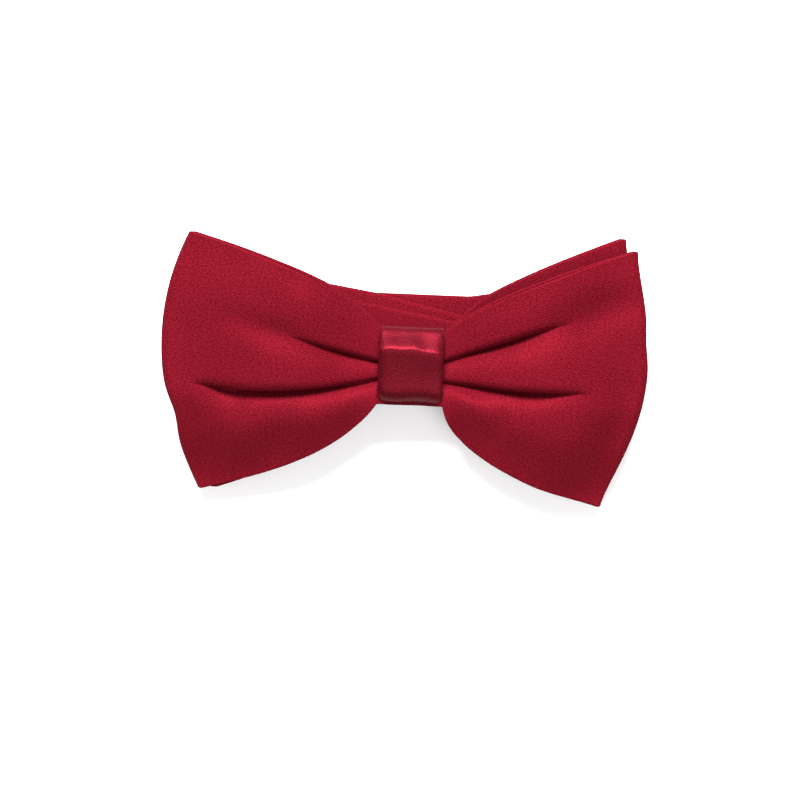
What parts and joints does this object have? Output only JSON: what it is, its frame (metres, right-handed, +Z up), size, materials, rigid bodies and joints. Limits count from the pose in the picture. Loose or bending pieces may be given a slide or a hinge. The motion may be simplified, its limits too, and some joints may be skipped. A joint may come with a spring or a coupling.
{
  "type": "bow tie",
  "caption": "Pre-tied satin bow tie with two layered pleated bows, a wrapped knot and an adjustable hook-and-eye neck strap folded behind it.",
  "frame": {"origin": "on the floor, under the middle of the tie's overall box", "axes": "+X along the bow, +Y to its upper edge, +Z up out of its front"},
  "size_m": [0.1198, 0.0666, 0.0233],
  "materials": {
    "satin": "fine twill satin with a soft sheen",
    "interlining": "matt woven canvas interlining",
    "thread": "polyester sewing thread",
    "plated_metal": "bright nickel plating on pressed steel"
  },
  "bodies": {
    "tie_body": {"front_bow_sleeve": "satin", "front_bow_interlining": "interlining", "rear_bow_sleeve": "satin", "rear_bow_interlining": "interlining", "gather_binding": "thread", "knot_band": "satin", "knot_interlining": "interlining", "knot_seam_thread": "thread", "neck_strap": "satin", "strap_return": "satin", "hook_bar_tack": "thread"},
    "slide_body": {"slide_adjuster": "plated_metal", "slide_bar_tack": "thread"},
    "eye_body": {"eye": "plated_metal"},
    "hook_body": {"hook": "plated_metal"}
  },
  "joints": [
    {"name": "slide_travel", "type": "slide", "parent": "tie_body", "child": "slide_body", "axis": [1, 0, 0], "range_m": [0, 0.045], "deforming": ["strap_return"]},
    {"name": "eye_swing", "type": "hinge", "parent": "tie_body", "child": "eye_body", "pos_m": [0.021, 0.00771, 0.0012], "axis": [0, 1, 0], "range_deg": [-15, 75]},
    {"name": "hook_swing", "type": "hinge", "parent": "tie_body", "child": "hook_body", "pos_m": [0.043, 0.00771, 0.0012], "axis": [0, -1, 0], "range_deg": [0, 75]}
  ]
}
